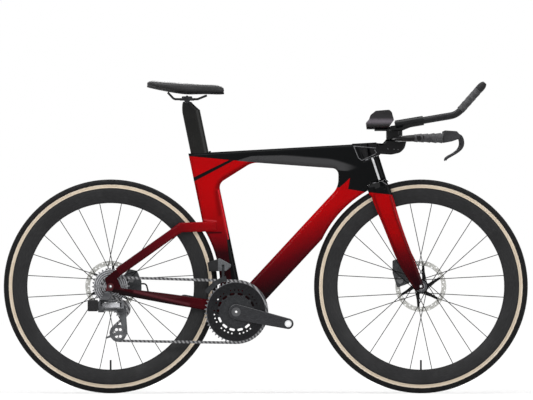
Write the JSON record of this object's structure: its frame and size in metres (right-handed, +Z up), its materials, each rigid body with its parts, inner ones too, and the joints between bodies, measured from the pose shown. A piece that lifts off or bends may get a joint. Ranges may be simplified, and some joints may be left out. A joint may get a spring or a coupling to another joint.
{
  "type": "time trial bike",
  "caption": "Disc-brake time trial bicycle with a deep aero frame, integrated base bar, arm rests and raised extensions, electronic shifting and deep rims.",
  "frame": {"origin": "on the ground, midway between the two axles, on the centre plane", "axes": "+X forward along the wheelbase, +Y to the rider's left, +Z up; the drive side is at -Y"},
  "size_m": [1.6469, 0.434, 0.9824],
  "materials": {
    "frame_paint": "gloss two-tone lacquer, red over black",
    "carbon": "black moulded carbon",
    "tyre_rubber": "matt tread with tan side walls",
    "rim_carbon": "satin carbon",
    "spoke_steel": "black oxide",
    "black_alloy": "black anodised",
    "crank_carbon": "black moulded carbon",
    "bearing_steel": "ground",
    "cog_steel": "dark nickel",
    "rotor_steel": "brushed",
    "pad_compound": "moulded",
    "black_plastic": "fine texture",
    "grip_tape": "wrapped tape",
    "saddle_cover": "smooth cover",
    "arm_foam": "covered foam"
  },
  "bodies": {
    "frame": {"main_frame": "frame_paint", "chainstays": "frame_paint", "seatstays": "frame_paint", "derailleur_hanger": "black_alloy", "frame_bearings": "bearing_steel", "seatpost_wedge": "black_alloy", "rear_axle": "black_alloy", "rear_brake_caliper": "black_alloy", "rear_brake_hose": "black_plastic", "front_derailleur_body": "black_alloy", "derailleur_batteries": "black_plastic", "chain": "cog_steel", "rear_derailleur_body": "black_alloy"},
    "saddle_and_post": {"seatpost": "carbon", "saddle_clamp": "black_alloy", "saddle_rails": "rotor_steel", "saddle_shell": "carbon", "saddle_pad": "saddle_cover"},
    "steering": {"fork": "frame_paint", "fork_tips": "frame_paint", "base_bar": "carbon", "bar_tape": "grip_tape", "armrest_riser": "carbon", "extensions": "carbon", "arm_cups": "carbon", "arm_pads": "arm_foam", "brake_lever_bodies": "black_plastic", "shifter_bodies": "black_plastic", "front_brake_caliper": "black_alloy", "front_axle": "black_alloy"},
    "lever_right": {"brake_lever_right": "black_alloy"},
    "lever_left": {"brake_lever_left": "black_alloy"},
    "button_right": {"shift_button_right": "black_plastic"},
    "button_left": {"shift_button_left": "black_plastic"},
    "front_pad_outer": {"front_brake_pad_outer": "pad_compound"},
    "front_pad_inner": {"front_brake_pad_inner": "pad_compound"},
    "rear_pad_outer": {"rear_brake_pad_outer": "pad_compound"},
    "rear_pad_inner": {"rear_brake_pad_inner": "pad_compound"},
    "front_wheel": {"front_tyre": "tyre_rubber", "front_rim": "rim_carbon", "front_spokes": "spoke_steel", "front_hub": "black_alloy", "front_rotor": "rotor_steel"},
    "rear_wheel": {"rear_tyre": "tyre_rubber", "rear_rim": "rim_carbon", "rear_spokes": "spoke_steel", "rear_hub": "black_alloy", "rear_rotor": "rotor_steel"},
    "cogs": {"cassette": "cog_steel"},
    "crankset": {"crank_spindle": "black_alloy", "crank_arm_right": "crank_carbon", "crank_arm_left": "crank_carbon", "chainrings": "cog_steel"},
    "outer_link": {"rear_derailleur_outer_link": "black_alloy"},
    "inner_link": {"rear_derailleur_inner_link": "black_alloy"},
    "knuckle": {"rear_derailleur_knuckle": "black_alloy"},
    "cage": {"rear_derailleur_cage": "black_alloy"},
    "upper_pulley": {"guide_pulley": "black_plastic"},
    "lower_pulley": {"tension_pulley": "black_plastic"},
    "front_cage": {"front_derailleur_cage": "black_alloy"}
  },
  "joints": [
    {"name": "steering_turn", "type": "hinge", "parent": "frame", "child": "steering", "pos_m": [0.44458, 0, 0.32247], "axis": [-0.3007, 0, 0.9537], "range_deg": [-45, 45]},
    {"name": "front_wheel_spin", "type": "hinge", "parent": "steering", "child": "front_wheel", "pos_m": [0.4875, 0, 0.336], "axis": [0, 1, 0], "continuous": true},
    {"name": "rear_wheel_spin", "type": "hinge", "parent": "frame", "child": "rear_wheel", "pos_m": [-0.4875, 0, 0.336], "axis": [0, 1, 0], "continuous": true},
    {"name": "crank_spin", "type": "hinge", "parent": "frame", "child": "crankset", "pos_m": [-0.09303, 0, 0.256], "axis": [0, 1, 0], "continuous": true, "deforming": ["chain"]},
    {"name": "cassette_spin", "type": "hinge", "parent": "frame", "child": "cogs", "pos_m": [-0.4875, 0, 0.336], "axis": [0, 1, 0], "continuous": true},
    {"name": "outer_link_swing", "type": "hinge", "parent": "frame", "child": "outer_link", "pos_m": [-0.512, -0.08163, 0.27525], "axis": [0, 0.5, 0.866], "range_deg": [-18, 33]},
    {"name": "inner_link_swing", "type": "hinge", "parent": "frame", "child": "inner_link", "pos_m": [-0.512, -0.07037, 0.26875], "axis": [0, 0.5, 0.866], "range_deg": [-18, 33]},
    {"name": "knuckle_swing", "type": "hinge", "parent": "outer_link", "child": "knuckle", "pos_m": [-0.46, -0.08163, 0.27525], "axis": [0, 0.5, 0.866], "range_deg": [-33, 18]},
    {"name": "cage_swing", "type": "hinge", "parent": "knuckle", "child": "cage", "pos_m": [-0.4525, -0.0485, 0.265], "axis": [0, 1, 0], "range_deg": [-30, 30], "stiffness_Nm_per_rad": 1.5},
    {"name": "upper_pulley_spin", "type": "hinge", "parent": "cage", "child": "upper_pulley", "pos_m": [-0.4525, -0.0485, 0.265], "axis": [0, 1, 0], "continuous": true},
    {"name": "lower_pulley_spin", "type": "hinge", "parent": "cage", "child": "lower_pulley", "pos_m": [-0.46262, -0.0485, 0.18968], "axis": [0, 1, 0], "continuous": true},
    {"name": "front_cage_swing", "type": "hinge", "parent": "frame", "child": "front_cage", "pos_m": [-0.13403, -0.039, 0.394], "axis": [1, 0, 0], "range_deg": [0, 6.3]},
    {"name": "brake_lever_right_pull", "type": "hinge", "parent": "steering", "child": "lever_right", "pos_m": [0.59903, -0.2, 0.80943], "axis": [0, 1, 0], "range_deg": [0, 22], "stiffness_Nm_per_rad": 0.6},
    {"name": "brake_lever_left_pull", "type": "hinge", "parent": "steering", "child": "lever_left", "pos_m": [0.59903, 0.2, 0.80943], "axis": [0, 1, 0], "range_deg": [0, 22], "stiffness_Nm_per_rad": 0.6},
    {"name": "front_pad_outer_press", "type": "slide", "parent": "steering", "child": "front_pad_outer", "axis": [0, -1, 0], "range_m": [0, 0.000251]},
    {"name": "front_pad_inner_press", "type": "slide", "parent": "steering", "child": "front_pad_inner", "axis": [0, 1, 0], "range_m": [0, 0.000251]},
    {"name": "rear_pad_outer_press", "type": "slide", "parent": "frame", "child": "rear_pad_outer", "axis": [0, -1, 0], "range_m": [0, 0.000251]},
    {"name": "rear_pad_inner_press", "type": "slide", "parent": "frame", "child": "rear_pad_inner", "axis": [0, 1, 0], "range_m": [0, 0.000251]},
    {"name": "shift_button_right_press", "type": "slide", "parent": "steering", "child": "button_right", "axis": [-0.6626, 0, -0.749], "range_m": [0, 0.0015], "stiffness_N_per_m": 900},
    {"name": "shift_button_left_press", "type": "slide", "parent": "steering", "child": "button_left", "axis": [-0.6626, 0, -0.749], "range_m": [0, 0.0015], "stiffness_N_per_m": 900},
    {"name": "seatpost_height", "type": "slide", "parent": "frame", "child": "saddle_and_post", "axis": [-0.2028, 0, 0.9792], "range_m": [-0.05, 0.04]}
  ],
  "couplings": [
    {"joint": "cassette_spin", "follows": "crank_spin", "ratio": 3.4286},
    {"joint": "upper_pulley_spin", "follows": "crank_spin", "ratio": -4},
    {"joint": "lower_pulley_spin", "follows": "crank_spin", "ratio": 4},
    {"joint": "inner_link_swing", "follows": "outer_link_swing", "ratio": 1},
    {"joint": "knuckle_swing", "follows": "outer_link_swing", "ratio": -1},
    {"joint": "front_pad_outer_press", "follows": "brake_lever_left_pull", "m_per_rad": 0.0006511},
    {"joint": "front_pad_inner_press", "follows": "brake_lever_left_pull", "m_per_rad": 0.0006511},
    {"joint": "rear_pad_outer_press", "follows": "brake_lever_right_pull", "m_per_rad": 0.0006511},
    {"joint": "rear_pad_inner_press", "follows": "brake_lever_right_pull", "m_per_rad": 0.0006511}
  ]
}
